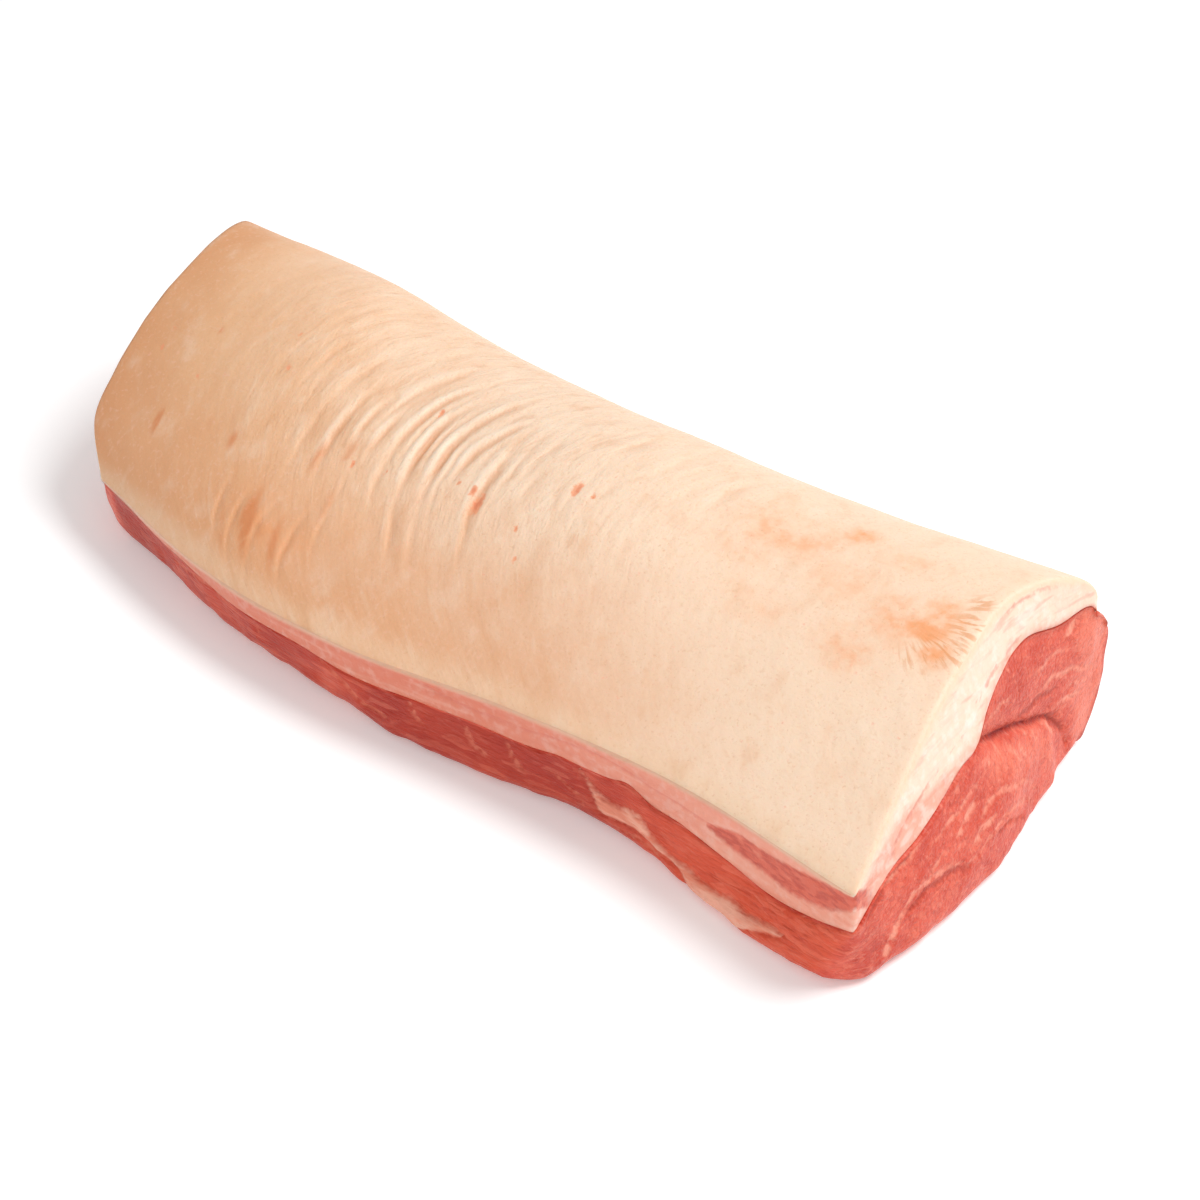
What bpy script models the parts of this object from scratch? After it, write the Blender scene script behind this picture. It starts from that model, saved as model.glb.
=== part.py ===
"""Rind-on pork loin joint: the rind with its back fat, lying over the lean.

The joint is a long, arched piece, cut straight across at both ends.  Its two solids
are the cap (rind and the back fat under it) and the lean (the loin muscles).

Metres, +Z up.  The origin is on the table under the middle of the joint, +X runs
along the loin to the near cut end, and the belly side faces -Y.
"""
import math

import bmesh
import bpy

MM = 0.001

# Sizes along the loin, in mm, at equal steps from the far cut (first) to the near cut (last).
RIND_FRONT_Y = (-69, -90, -95.5, -87, -85, -96)
RIND_FRONT_Z = (30, 32, 36.5, 42, 47, 50)
RIND_BACK_Y = (85, 83.5, 77, 74, 78, 85.5)
RIND_BACK_Z = (71, 71, 69, 68, 69, 71)
CROWN_RISE = (30, 35.5, 27, 31.5, 29.5, 34)
CAP_FRONT_DEPTH = (4, 7.5, 13.5, 15, 19, 21)
FOOT_STANDS_OUT = (-2.5, -3, -3, -3, -1.5, 1.5, 5, 6, 1, 2, 5.5, 10, 3)

# Sizes across the loin, in mm, at equal steps from the belly side (first) to the back (last).
NEAR_RIND_X = (235, 226.5, 219.5, 217, 231)
NEAR_FOOT_X = (238, 246.5, 248, 241.5, 236)
FAR_RIND_X = (-206, -230, -232.5, -236, -247)
FAR_FOOT_X = (-204, -236, -239, -240, -245)
CAP_DEPTH = (21, 21, 26, 29, 30, 23, 20, 20, 4)
FAR_CAP_SHARE = 0.8
BACK_STANDS_OUT = (-7, 6, 11, 12.5, 12.5, 0)

CROWN_AT = 0.66
FACE_SLUMP = 1.2
JOINT_GAP = 0.3
FRONT_FOOT_RADIUS = 8.0
FACE_FOOT_RADIUS = 8.0
FACE_LOW_RADIUS = 12.0
FACE_HIGH_RADIUS = 1.5

# The seam between the two muscles on a cut face: y and z of its bends at the near cut, in mm.
SEAM = ((-9, 61), (12, 52), (33, 45), (59, 34), (65, 12))
SEAM_DEPTH = 5.0
SEAM_HALF_WIDTH = 8.0
EYE_RECESS = 2.5

# Cross folds in the rind, in mm, spread over a share of the loin's length.
FOLDS = 22
FOLDS_FROM = 0.06
FOLDS_TO = 0.56
FOLD_DEPTH = 1.5
FOLDS_START_ACROSS = 0.12
PLAIN_STATIONS = 9

# Steps across the loin (0 belly side, 1 back) and up the sides of the lean (0 table, 1 cap).
ACROSS = (0, 0.03, 0.08, 0.13, 0.18, 0.23, 0.28, 0.33, 0.38, 0.43, 0.48, 0.53, 0.58,
          0.63, 0.68, 0.73, 0.78, 0.83, 0.87, 0.91, 0.94, 0.965, 0.985, 1)
UPWARD = (0, 0.04, 0.1, 0.17, 0.25, 0.33, 0.41, 0.49, 0.57, 0.65, 0.73, 0.81, 0.88, 0.95, 1)

RIND_COLOUR = (0.86, 0.68, 0.50, 1)
LEAN_COLOUR = (0.66, 0.16, 0.12, 1)


def clear_scene():
    for item in list(bpy.data.objects):
        bpy.data.objects.remove(item, do_unlink=True)


def mix(a, b, share):
    return a + (b - a) * share


def spline(values, t):
    """Catmull-Rom curve through equally spaced values, t from 0 to 1."""
    last = len(values) - 1
    padded = (2 * values[0] - values[1],) + tuple(values) + (2 * values[-1] - values[-2],)
    place = min(max(t, 0.0), 1.0) * last
    i = min(int(place), last - 1)
    t = place - i
    a, b, c, d = padded[i:i + 4]
    return 0.5 * (2 * b + (c - a) * t + (2 * a - 5 * b + 4 * c - d) * t ** 2
                  + (3 * b - a - 3 * c + d) * t ** 3)


def smooth(t):
    t = min(max(t, 0.0), 1.0)
    return t * t * (3 - 2 * t)


def fillet(distance, radius):
    """How far a rounded edge falls back at a distance in from that edge."""
    if distance >= radius:
        return 0.0
    return radius - math.sqrt(radius ** 2 - (radius - distance) ** 2)


# Outer form.  s runs along the loin (0 far cut, 1 near cut), e across it (0 belly side, 1 back).

def crown(e):
    if e < CROWN_AT:
        return math.sin(math.pi / 2 * e / CROWN_AT)
    return math.sqrt(max(0.0, 1 - ((e - CROWN_AT) / (1 - CROWN_AT)) ** 2))


def rind_yz(s, e):
    y = mix(spline(RIND_FRONT_Y, s), spline(RIND_BACK_Y, s), e)
    z = mix(spline(RIND_FRONT_Z, s), spline(RIND_BACK_Z, s), e)
    return y, z + spline(CROWN_RISE, s) * crown(e)


def seat_yz(s, e):
    """Underside of the cap, where it sits on the lean."""
    y, z = rind_yz(s, e)
    inner = spline(CAP_DEPTH, e) * mix(FAR_CAP_SHARE, 1, s)
    depth = mix(spline(CAP_FRONT_DEPTH, s), inner, smooth(e / 0.25))
    return y, z - depth


def face_x(s, y, z):
    """The cut face at s = 0 or s = 1: it slumps outward from the rind to the table."""
    front, back = spline(RIND_FRONT_Y, s), spline(RIND_BACK_Y, s)
    e = (y - front) / (back - front)
    rind = spline(NEAR_RIND_X if s else FAR_RIND_X, e)
    foot = spline(NEAR_FOOT_X if s else FAR_FOOT_X, e)
    top = rind_yz(s, min(max(e, 0.0), 1.0))[1]
    return mix(foot, rind, min(z / top, 1.0) ** FACE_SLUMP)


# Lean: the sides, the foot and the cut faces.

def belly_side(s, up):
    y_top, z_top = seat_yz(s, 0)
    z = (z_top - JOINT_GAP) * up
    out = spline(FOOT_STANDS_OUT, s) * (1 - up)
    return y_top - out + fillet(z, FRONT_FOOT_RADIUS), z


def back_side(s, up):
    y_top, z_top = seat_yz(s, 1)
    return y_top + spline(BACK_STANDS_OUT, up), (z_top - JOINT_GAP) * up


def seat_side(s, e):
    y, z = seat_yz(s, e)
    return y, z - JOINT_GAP


def lean_grid(s, i, j):
    """A point inside the lean's section: column i across it, row j up it."""
    e, up = ACROSS[i], UPWARD[j]
    front, back = belly_side(s, up), back_side(s, up)
    front_foot, back_foot = belly_side(s, 0)[0], back_side(s, 0)[0]
    y_foot = mix(front_foot, back_foot, e)
    y_seat, z_seat = seat_side(s, e)
    front_bow = front[0] - mix(front_foot, seat_side(s, 0)[0], up)
    back_bow = back[0] - mix(back_foot, seat_side(s, 1)[0], up)
    return mix(y_foot, y_seat, up) + mix(front_bow, back_bow, e), z_seat * up


def distance_to_seam(y, z):
    nearest = math.inf
    for (y0, z0), (y1, z1) in zip(SEAM, SEAM[1:]):
        dy, dz = y1 - y0, z1 - z0
        t = ((y - y0) * dy + (z - z0) * dz) / (dy ** 2 + dz ** 2)
        t = min(max(t, 0.0), 1.0)
        nearest = min(nearest, math.hypot(y - y0 - t * dy, z - z0 - t * dz))
    return nearest


def inside_eye(y, z):
    """1 on the back muscle, above and behind the seam, 0 on the belly side of it."""
    y0, z0 = SEAM[0]
    y1, z1 = SEAM[3]
    above = ((z - z0) * (y1 - y0) - (y - y0) * (z1 - z0)) / math.hypot(y1 - y0, z1 - z0)
    behind = y - y1
    return smooth(0.5 + max(above, behind) / (2 * SEAM_HALF_WIDTH))


def face_relief(y, z):
    groove = SEAM_DEPTH * math.exp(-(distance_to_seam(y, z) / SEAM_HALF_WIDTH) ** 2)
    return groove + EYE_RECESS * inside_eye(y, z)


def lean_face_x(s, i, j):
    y, z = lean_grid(s, i, j)
    if j == len(UPWARD) - 1:
        return face_x(s, y, z)
    front, back = belly_side(s, UPWARD[j])[0], back_side(s, UPWARD[j])[0]
    fall = fillet(z, FACE_FOOT_RADIUS)
    fall = max(fall, fillet(y - front, mix(FACE_LOW_RADIUS, FACE_HIGH_RADIUS, UPWARD[j])))
    fall = max(fall, fillet(back - y, FACE_HIGH_RADIUS))
    if j > 0 and 0 < i < len(ACROSS) - 1:
        fall = max(fall, face_relief(y, z))
    outward = 1 if s else -1
    return face_x(s, y, z) - outward * fall


# Meshes.

def fold_cut(number, e):
    """Depth of one cross fold at e.  Each fold has its own middle, reach and depth."""
    along = (number + 0.5) / FOLDS
    strength = math.sin(math.pi * along) ** 0.6 * (0.75 + 0.25 * math.sin(2.9 * number))
    middle = 0.52 + 0.14 * math.sin(1.7 * number + 0.6)
    reach = 0.36 + 0.08 * math.cos(2.3 * number)
    fade = (1 - smooth(abs(e - middle) / reach)) * smooth(e / FOLDS_START_ACROSS)
    return FOLD_DEPTH * strength * fade


def stations():
    """Places along the loin, each with the fold that runs there or None."""
    places = [(0.0, None)]
    pitch = (FOLDS_TO - FOLDS_FROM) / FOLDS
    for number in range(FOLDS):
        start = FOLDS_FROM + pitch * number
        shift = 0.15 * pitch * math.sin(3.7 * number)
        places.append((start, None))
        places.append((start + pitch / 2 + shift, number))
    for number in range(PLAIN_STATIONS + 1):
        places.append((mix(FOLDS_TO, 1, number / PLAIN_STATIONS), None))
    return places


def lean_stations():
    """The smooth lean needs only every third station under the folds."""
    places = [s for s, _ in stations()]
    folded = [s for s in places if FOLDS_FROM <= s < FOLDS_TO][::3]
    plain = [s for s in places if s < FOLDS_FROM or s >= FOLDS_TO]
    return sorted(folded + plain)


def add_quads(mesh, rows, closed=False, flip=False):
    """Join neighbouring rows of vertices; a closed row also joins its last to its first."""
    for lower, upper in zip(rows, rows[1:]):
        count = len(lower)
        for k in range(count if closed else count - 1):
            nxt = (k + 1) % count
            corners = (lower[k], lower[nxt], upper[nxt], upper[k])
            mesh.faces.new(corners[::-1] if flip else corners)


def add_object(name, mesh, colour, roughness):
    data = bpy.data.meshes.new(name)
    mesh.to_mesh(data)
    mesh.free()
    data.shade_smooth()
    data.set_sharp_from_angle(angle=math.radians(40))
    material = bpy.data.materials.new(name)
    material.use_nodes = True
    shader = material.node_tree.nodes["Principled BSDF"]
    shader.inputs["Base Color"].default_value = colour
    shader.inputs["Roughness"].default_value = roughness
    shader.inputs["Metallic"].default_value = 0.0
    data.materials.append(material)
    item = bpy.data.objects.new(name, data)
    bpy.context.collection.objects.link(item)
    return item


def new_row(mesh, points):
    return [mesh.verts.new([value * MM for value in point]) for point in points]


def make_cap():
    """Rind and back fat: an arched slab, folded on top, cut off at both ends."""
    far = [(rind_yz, e) for e in ACROSS] + [(seat_yz, e) for e in reversed(ACROSS)]
    mesh = bmesh.new()
    rows = []
    for s, fold in stations():
        points = []
        for surface, e in far:
            y, z = surface(s, e)
            x = mix(face_x(0, *surface(0, e)), face_x(1, *surface(1, e)), s)
            if surface is rind_yz and fold is not None:
                z -= fold_cut(fold, e)
            points.append((x, y, z))
        rows.append(new_row(mesh, points))
    add_quads(mesh, rows, closed=True, flip=True)
    half = len(ACROSS)
    for row, is_far in ((rows[0], True), (rows[-1], False)):
        top, underside = row[:half], row[:half - 1:-1]
        add_quads(mesh, [underside, top], flip=is_far)
    return add_object("rind_and_fat", mesh, RIND_COLOUR, 0.5)


def border(columns, rows):
    """Grid places round the edge of a section, in order: seat, back, foot, belly side."""
    seat = [(i, rows) for i in range(columns)]
    back = [(columns, j) for j in range(rows, 0, -1)]
    foot = [(i, 0) for i in range(columns, 0, -1)]
    belly = [(0, j) for j in range(rows)]
    return seat + back + foot + belly


def make_lean():
    """Loin muscles: flat below, rounded at the belly side, bowed out at the back."""
    columns, rows = len(ACROSS) - 1, len(UPWARD) - 1
    edge = border(columns, rows)
    ends = [{place: lean_face_x(s, *place) for place in edge} for s in (0, 1)]
    mesh = bmesh.new()
    loops = []
    for s in lean_stations():
        points = []
        for place in edge:
            y, z = lean_grid(s, *place)
            points.append((mix(ends[0][place], ends[1][place], s), y, z))
        loops.append(new_row(mesh, points))
    add_quads(mesh, loops, closed=True, flip=True)
    for s, loop in ((0, loops[0]), (1, loops[-1])):
        verts = dict(zip(edge, loop))
        for i in range(1, columns):
            for j in range(1, rows):
                y, z = lean_grid(s, i, j)
                verts[i, j] = new_row(mesh, [(lean_face_x(s, i, j), y, z)])[0]
        grid = [[verts[i, j] for i in range(columns + 1)] for j in range(rows + 1)]
        add_quads(mesh, grid, flip=s == 0)
    return add_object("loin_meat", mesh, LEAN_COLOUR, 0.4)


clear_scene()
make_cap()
make_lean()
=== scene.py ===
"""Looks for the rind-on pork loin joint: fine rind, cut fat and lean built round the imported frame."""

import itertools
import math

import bpy
import numpy as np
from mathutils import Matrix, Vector


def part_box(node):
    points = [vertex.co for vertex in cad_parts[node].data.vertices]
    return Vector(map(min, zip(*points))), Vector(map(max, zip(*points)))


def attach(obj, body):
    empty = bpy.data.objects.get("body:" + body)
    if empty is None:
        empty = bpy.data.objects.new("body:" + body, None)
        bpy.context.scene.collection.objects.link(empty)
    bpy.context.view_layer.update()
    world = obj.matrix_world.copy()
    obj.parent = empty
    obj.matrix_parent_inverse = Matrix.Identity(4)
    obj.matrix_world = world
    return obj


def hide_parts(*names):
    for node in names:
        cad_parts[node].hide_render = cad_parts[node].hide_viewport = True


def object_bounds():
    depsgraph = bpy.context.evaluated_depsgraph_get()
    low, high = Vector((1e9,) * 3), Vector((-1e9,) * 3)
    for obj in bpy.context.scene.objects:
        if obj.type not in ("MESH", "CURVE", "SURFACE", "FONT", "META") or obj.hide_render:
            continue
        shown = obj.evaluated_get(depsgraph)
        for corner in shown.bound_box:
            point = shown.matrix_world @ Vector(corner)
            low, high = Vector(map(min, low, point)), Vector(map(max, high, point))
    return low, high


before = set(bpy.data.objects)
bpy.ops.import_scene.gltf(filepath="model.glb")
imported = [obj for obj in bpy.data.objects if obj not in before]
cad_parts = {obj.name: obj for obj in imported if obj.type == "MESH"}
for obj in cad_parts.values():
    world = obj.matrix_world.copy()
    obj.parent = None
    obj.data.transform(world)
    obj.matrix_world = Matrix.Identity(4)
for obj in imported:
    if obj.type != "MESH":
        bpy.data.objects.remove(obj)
CAD_LOW, CAD_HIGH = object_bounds()

# Sizes in mm.  s runs along the loin (0 far cut, 1 near cut), e across it (0 belly side, 1 back).

RIND_FRONT_Y = (-69, -90, -95.5, -87, -85, -96)
RIND_FRONT_Z = (30, 32, 36.5, 42, 47, 50)
RIND_BACK_Y = (85, 83.5, 77, 74, 78, 85.5)
RIND_BACK_Z = (71, 71, 69, 68, 69, 71)
CROWN_RISE = (30, 35.5, 27, 31.5, 29.5, 34)
CROWN_AT = 0.66
FOOT_STANDS_OUT = (0.5, -2.2, -3, -3, -2.6, 0.3, 4.3, 5.6, 1, 1.6, 4.6, 9.2, 5)
NEAR_RIND_X = (235, 226.5, 219.5, 217, 231)
NEAR_FOOT_X = (238, 246.5, 248, 241.5, 236)
FAR_RIND_X = (-199.5, -222.5, -228.5, -231.5, -233.5, -234.5, -236.5, -240.5, -247)
FAR_FOOT_X = (-203, -220, -230, -236, -239, -241, -245)
FAR_TUCK, FAR_TUCK_REACH = 4.5, 0.35  # the lean's far cut lies back under the rind
CAP_DEPTH = (21, 21.8, 27.7, 31, 30.5, 24.4, 20.8, 21.5, 7)
FAR_CAP_SHARE = 0.8
BACK_STANDS_OUT = (-7, 6, 11, 12.5, 12.5, 0)
FACE_SLUMP = 1.2
FRONT_FOOT_RADIUS = 8.0
FACE_FOOT_RADIUS = 8.0
FACE_LOW_RADIUS = 22.0
FACE_HIGH_RADIUS = 1.5
LOIN_LENGTH = 490.0
LOIN_WIDTH = 230.0
FRONT_BLEND = 0.25  # share of e where the belly side's depth fades
SEAT_BLEND = 0.06  # share of the height where the lean meets the cap

# Depth of the fat at the belly side, every twentieth of the length, and lumps of lean that rise into it.
FAT_DEPTH = (1.5, 1.8, 2.7, 4.4, 6.6, 9.7, 10.4, 10.4, 13.9, 15, 14.6,
             15.5, 16.6, 16.1, 15.6, 19, 20.8, 25, 28.7, 25.9, 19)
LEAN_HUMPS = ((0.657, 1.4, 0.018), (0.737, 4.8, 0.018))  # place, height, half width
NOTCH_AT, NOTCH_DEPTH, NOTCH_WIDTH = 0.49, 3.5, 0.045  # fat dips between the muscles

# Steps of the meshes.
CAP_COLUMNS, CAP_SIDE_ROWS, CAP_BACK_ROWS = 120, 16, 4
FOLDED_FROM, FOLDED_TO, FOLDED_STEP, PLAIN_STEP = 0.20, 0.60, 1.0, 2.3
LEAN_COLUMNS, LEAN_ROWS, LEAN_STATIONS = 130, 56, 185
# Softened edges: cosine that counts as sharp, share for its neighbours, pull at the far cut and elsewhere.
SHARP_COSINE, SHARP_SPREAD, FAR_CUT, FAR_PULL, PULL = 0.93, 0.7, 0.02, 0.3, 0.6

# Folds of the rind: place s, middle e, reach in e, bow, slant, depth, half width.
FOLDS = (
    (0.374, 0.58, 0.27, 0.52, 0.00, 1.5, 2.3), (0.402, 0.49, 0.25, 0.40, 0.00, 1.9, 2.6),
    (0.429, 0.55, 0.28, 0.42, 0.00, 2.1, 2.6), (0.456, 0.57, 0.17, 0.50, 0.04, 1.9, 2.6),
    (0.489, 0.47, 0.25, 0.20, -0.03, 1.8, 3.0), (0.516, 0.60, 0.12, 0.30, 0.00, 1.3, 3.2),
    (0.350, 0.67, 0.16, 0.30, 0.05, 1.0, 3.2), (0.332, 0.50, 0.12, 0.40, 0.02, 1.1, 1.8),
    (0.354, 0.48, 0.11, 0.20, 0.02, 1.2, 1.8), (0.288, 0.60, 0.18, 0.30, 0.06, 0.8, 3.0),
    (0.309, 0.43, 0.17, 0.20, 0.02, 1.2, 2.4), (0.336, 0.25, 0.13, 0.20, 0.09, 0.9, 2.0),
    (0.309, 0.15, 0.12, 0.10, 0.15, 1.0, 2.2), (0.267, 0.13, 0.11, 0.10, 0.19, 1.0, 2.3),
    (0.236, 0.14, 0.11, 0.10, 0.15, 0.8, 2.2), (0.275, 0.36, 0.14, 0.20, 0.06, 0.9, 2.8),
    (0.248, 0.60, 0.14, 0.20, 0.05, 0.7, 2.8), (0.376, 0.37, 0.12, 0.20, -0.06, 0.8, 2.4),
    (0.585, 0.76, 0.20, 0.10, 0.09, 0.9, 4.0), (0.636, 0.77, 0.17, 0.10, 0.02, 0.7, 4.0),
    (0.700, 0.74, 0.17, 0.10, 0.03, 0.8, 4.0), (0.486, 0.78, 0.10, 0.30, 0.08, 0.6, 3.0),
    (0.545, 0.74, 0.10, 0.20, 0.00, 0.6, 3.4), (0.206, 0.72, 0.08, 0.10, 0.14, 0.6, 2.2),
    (0.212, 0.15, 0.09, 0.10, 0.09, 0.7, 2.2), (0.295, 0.76, 0.09, 0.20, 0.10, 0.6, 2.4),
    (0.440, 0.25, 0.10, 0.20, -0.08, 0.6, 3.0), (0.415, 0.27, 0.10, 0.20, -0.08, 0.6, 3.0),
)
FOLD_DEEPER, FOLD_WIDER = 0.85, 0.76
# In half widths: how steep a fold's two sides are, then how far off and how wide its crest is.
FOLD_STEEP, FOLD_GENTLE, CREST_AWAY, CREST_WIDTH, CREST_HEIGHT = 0.5, 1.55, 1.75, 1.05, 0.42
LOW_CREST, LOW_CREST_FROM, LOW_CREST_BLEND = 0.3, 0.15, 0.3  # crests are weaker towards the belly side
# A lesser fold follows each of the main ones, and faint ones lie evenly over the far half.
MAIN_FOLDS, BETWEEN_FOLDS, BETWEEN_SIZE, BETWEEN_DEEP = 8, 0.013, 0.7, 0.5
FAINT_FOLDS, FAINT_FROM, FAINT_PITCH, FAINT_MIDDLE = 19, 0.115, 0.031, 0.66
FAINT_SHAPE = (0.26, 0.2, 0.05, 0.4, 3.0)  # reach, bow, slant, depth, half width
BOW_MIDDLE, STREAK_BOW = 0.5, 0.35

# Marks on the rind: s, e, half length along s and e in mm.
SCARS = ((0.493, 0.418, 2.6, 6.5), (0.482, 0.445, 1.6, 3.5), (0.578, 0.548, 1.8, 5.0),
         (0.545, 0.39, 1.0, 2.0), (0.561, 0.315, 1.0, 1.6), (0.049, 0.44, 1.0, 2.0), (0.046, 0.379, 1.2, 1.6),
         (0.119, 0.36, 1.0, 1.6), (0.217, 0.496, 1.2, 1.2), (0.201, 0.588, 0.9, 1.2),
         (0.383, 0.405, 1.0, 1.4), (0.346, 0.38, 1.0, 2.0), (0.392, 0.618, 1.0, 3.2),
         (0.598, 0.545, 1.2, 2.0), (0.462, 0.455, 0.9, 1.4))
STAINS = ((0.097, 0.215, 2.0, 8.0, 0.9), (0.109, 0.493, 1.8, 4.0, 0.6), (0.205, 0.277, 2.8, 6.0, 0.6),
          (0.167, 0.277, 2.5, 5.0, 0.35), (0.268, 0.141, 4.6, 15.0, 0.95), (0.307, 0.13, 3.4, 14.0, 0.55),
          (0.285, 0.14, 7.0, 5.0, 0.4), (0.336, 0.40, 3.0, 12.0, 0.45), (0.307, 0.35, 3.0, 10.0, 0.5),
          (0.235, 0.10, 3.0, 12.0, 0.4), (0.345, 0.27, 3.0, 14.0, 0.35))
BLUSHES = ((0.955, 0.548, 12, 9, 1.0), (0.972, 0.505, 8, 9, 0.8), (0.960, 0.60, 12, 14, 0.7),
           (0.93, 0.55, 22, 20, 0.55), (0.84, 0.76, 9, 10, 0.6), (0.79, 0.68, 34, 20, 0.5),
           (0.76, 0.60, 22, 20, 0.4), (0.90, 0.44, 20, 18, 0.42), (0.80, 0.45, 26, 14, 0.3),
           (0.86, 0.60, 26, 22, 0.34), (0.40, 0.24, 44, 18, 0.18), (0.46, 0.40, 26, 10, 0.25),
           (0.90, 0.72, 22, 14, 0.35), (0.66, 0.30, 30, 14, 0.14), (0.30, 0.17, 34, 18, 0.4))
# Strokes that fan out from the big blush to the cut: where they start, then s, e and half lengths.
FAN_AT = (0.925, 0.56)
FAN_FINENESS, FAN_LENGTHS = 13.0, 0.09  # noise lumps per radian and per mm
BRISTLES = ((0.980, 0.52, 12, 10, 1.0), (0.988, 0.60, 9, 12, 1.0), (0.985, 0.67, 7, 9, 0.8),
            (0.960, 0.48, 10, 9, 0.7))

# Strip of lean in the fat of the belly side: depth of its top and bottom, every step from its tip.
STRIP_FROM = 0.826
STRIP_TOP = (12.2, 7.9, 7.8, 5.8, 2.6, 0.5)
STRIP_BOTTOM = (12.2, 16.7, 17.6, 18.6, 15.4, 7.5)
LINE_FROM, LINE_TO, LINE_WIDTH = 0.50, 0.84, 0.7
LINE_DEPTH = (3.3, 6.5, 8.1, 8.3, 6.1, 4.7, 5.4, 8.8, 10, 11.3)
# Pale fat low on the belly side: height of its top and bottom over the table.
PALE_FROM, PALE_TO = 0.675, 0.955
PALE_TOP = (29, 22, 17.5, 18.3, 19.6, 13.2, 10.1, 9.6, 9.5, 10, 10.3, 10.3, 11.4, 11.8)
PALE_BOTTOM = (29, 20, 11, 9.6, 11.5, 10.1, 8.9, 7.6, 2.6, 2.4, 2.2, 2, 8.4, 11.8)
# Pale seams on the belly side: s, z of each bend, then the half width.
SIDE_SEAMS = (
    (((0.479, 24), (0.489, 20), (0.502, 15.5)), 0.7), (((0.546, 21.5), (0.557, 18), (0.580, 13.5)), 0.8),
    (((0.596, 23.5), (0.607, 18), (0.622, 12.5)), 1.0),
    (((0.367, 24), (0.40, 16), (0.42, 12), (0.458, 10.5)), 1.1),
    (((0.281, 22), (0.272, 16)), 1.2), (((0.655, 20), (0.69, 13), (0.70, 8)), 0.6),
    (((0.745, 7.5), (0.775, 8.5), (0.80, 7)), 0.9), (((0.12, 18), (0.19, 24), (0.24, 20)), 1.0),
)
# Darker and paler stretches of the belly side's lean: s, half width along s, how dark.
SIDE_SHADES = ((0.03, 0.07, 0.8), (0.13, 0.05, 0.1), (0.31, 0.035, 0.75), (0.20, 0.05, 0.1),
               (0.40, 0.03, -0.1), (0.45, 0.04, 0.75), (0.53, 0.05, 0.7), (0.64, 0.05, 0.65),
               (0.70, 0.03, 0.3), (0.79, 0.03, 0.1), (0.83, 0.03, 0.1))

# Cut face: the crease between the muscles, then pale seams (y, z of each bend, half width).
CREASE = ((-5, 59.5), (8.5, 53.7), (26, 47), (43.5, 38.7), (52, 35), (58.5, 29), (63.5, 21), (67, 12.5))
CREASE_STRENGTH = (0.9, 1.0, 1.0, 1.0, 0.8, 0.5, 0.4, 0.4)
FORK, FORK_STRENGTH = ((48, 37), (58, 33.2), (67, 30)), (0.8, 0.6, 0.1)
FACE_SEAMS = (
    (((-14.5, 31.5), (-7.5, 35.5), (1, 35.2), (13.5, 30), (25.5, 21.5), (35, 12)), 0.8),
    (((-31, 34), (-27, 35), (-21, 37.8), (-14.5, 40.5)), 1.3),
    (((-24, 24), (-15.5, 27.8), (-7, 28.8)), 1.2),
    (((-80, 10), (-74, 16), (-69.5, 22), (-62, 28), (-51, 28.3), (-39.5, 25.7), (-28.5, 21.2)), 0.9),
    (((-26.7, 20), (-13.3, 21.7), (0, 24), (13.3, 21.7), (23.3, 15), (33, 8)), 0.6),
    (((-79, 9), (-76, 15), (-72, 20)), 1.6), (((-43, 41.7), (-25, 42.5), (-6.7, 48)), 0.7),
    (((46.7, 36), (52, 30), (57, 23)), 0.9), (((8, 50.5), (9, 46)), 0.7), (((15.5, 47.5), (17, 43)), 0.7),
    (((18.5, 42), (20, 37)), 0.8), (((23, 41), (25.5, 34.5)), 0.9), (((29.5, 42), (31.5, 37)), 0.6),
    (((36, 39), (39, 33)), 0.6), (((2, 52), (-2, 48)), 0.6), (((-50, 30), (-40, 34)), 0.6),
    (((-76, 40), (-64, 42), (-52, 45)), 0.5),
    (((47, 50.5), (57, 52), (67.5, 49), (78, 43.5), (88, 38.5)), 0.8),
    (((66, 65.5), (73, 70)), 2.0), (((2, 61), (14, 63), (24, 62)), 0.6),
    (((56.5, 36.5), (67, 35.5), (78, 31.5)), 0.8), (((-2, 64), (6, 67)), 0.9),
    (((66, 42), (82, 35)), 0.5), (((44, 60), (58, 62), (66, 60)), 0.5),
)
# Grooves in the cut face, painted dark as shade: y, z of each bend, then the half width.
SHADED_GROOVES = ((((-66, 21), (-53.5, 25.3), (-40, 23.2), (-27, 18.8)), 1.3),
              (((30, 49), (46, 48), (60, 46.5)), 1.2), (((-88, 33), (-76, 40), (-58, 44.5)), 1.0),
              (((52, 35), (58.5, 28), (63.5, 21)), 1.8), (((-5, 20), (10, 17), (20, 10)), 0.7))
FAT_LINES = ((((-71, 50.5), (-61.5, 55.5), (-51.5, 59.3), (-40, 63.3), (-33, 65)), 0.8),
             (((6.7, 76.7), (18.3, 79.2)), 1.2), (((26, 94), (40.5, 95), (51.5, 94.6), (62, 92.5)), 0.7),
             (((-72, 47.5), (-66, 51)), 1.0), (((-6, 73), (4, 75.5)), 0.5),
             (((23, 79.5), (38, 82)), 0.9), (((-24, 66), (-12, 68)), 0.4))
# Darker and paler patches of the lean's cut face: y, z, half widths and how dark; the patch at y 60, z 21 is
# painted shadow between the two lobes.
FACE_SHADES = ((16, 60, 26, 11, 0.40), (48, 66, 16, 9, 0.25), (60, 21, 8, 10, 0.40), (-45, 14, 28, 8, 0.30),
               (-60, 36, 18, 6, 0.15), (20, 22, 16, 10, -0.20))
# Painted highlights on the cut fat: y, z, half width and half height.
FAT_GLEAMS = ((-8, 70.5, 6, 2.2), (-59, 51.3, 4.5, 2.0), (42, 88.5, 7, 3.0))
FACE_LUMPS = ((-10, 28, 26, 12, 1.6), (-58, 32, 20, 10, 1.4), (18, 30, 18, 11, 1.5), (38, 62, 26, 12, 1.6),
              (78, 52, 14, 18, 1.2), (-45, 14, 24, 8, 1.0), (70, 24, 12, 8, 1.0))
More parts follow.
